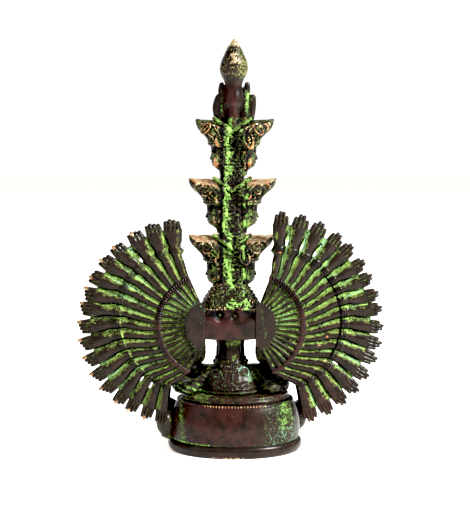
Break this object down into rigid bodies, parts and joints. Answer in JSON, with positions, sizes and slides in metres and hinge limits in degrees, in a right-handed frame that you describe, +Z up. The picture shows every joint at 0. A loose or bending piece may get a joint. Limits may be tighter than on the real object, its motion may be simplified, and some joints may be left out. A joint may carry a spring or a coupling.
{
  "type": "avalokiteshvara statue",
  "caption": "Seated many-headed, many-armed bodhisattva statuette in patinated cast brass, its side arms spread in two fans, on an oval lotus base; it stands freely on a flat surface",
  "frame": {"origin": "the middle of the object's bounding box, on the underside of the lotus base", "axes": "+Z is up; the figure faces -Y, so the pictured back faces +Y; +X is the figure's left-hand side"},
  "size_m": [0.1632, 0.0628, 0.22],
  "materials": {
    "base_brass": "cast brass with a glossy reddish-brown lacquer, green patina in the recesses and copper-coloured wear on the edges",
    "figure_brass": "cast brass, lime and olive green patina over dark brown lacquer, worn to tan and copper on the crowns and the tip",
    "left_fan_brass": "cast brass, dark brown lacquer with lime green patina between the arms and worn fingertips",
    "right_fan_brass": "cast brass, dark brown lacquer with lime and teal green patina between the arms and worn fingertips"
  },
  "bodies": {
    "root": {"lotus_base": "base_brass", "seated_figure": "figure_brass", "left_arm_fan": "left_fan_brass", "right_arm_fan": "right_fan_brass"}
  },
  "joints": []
}
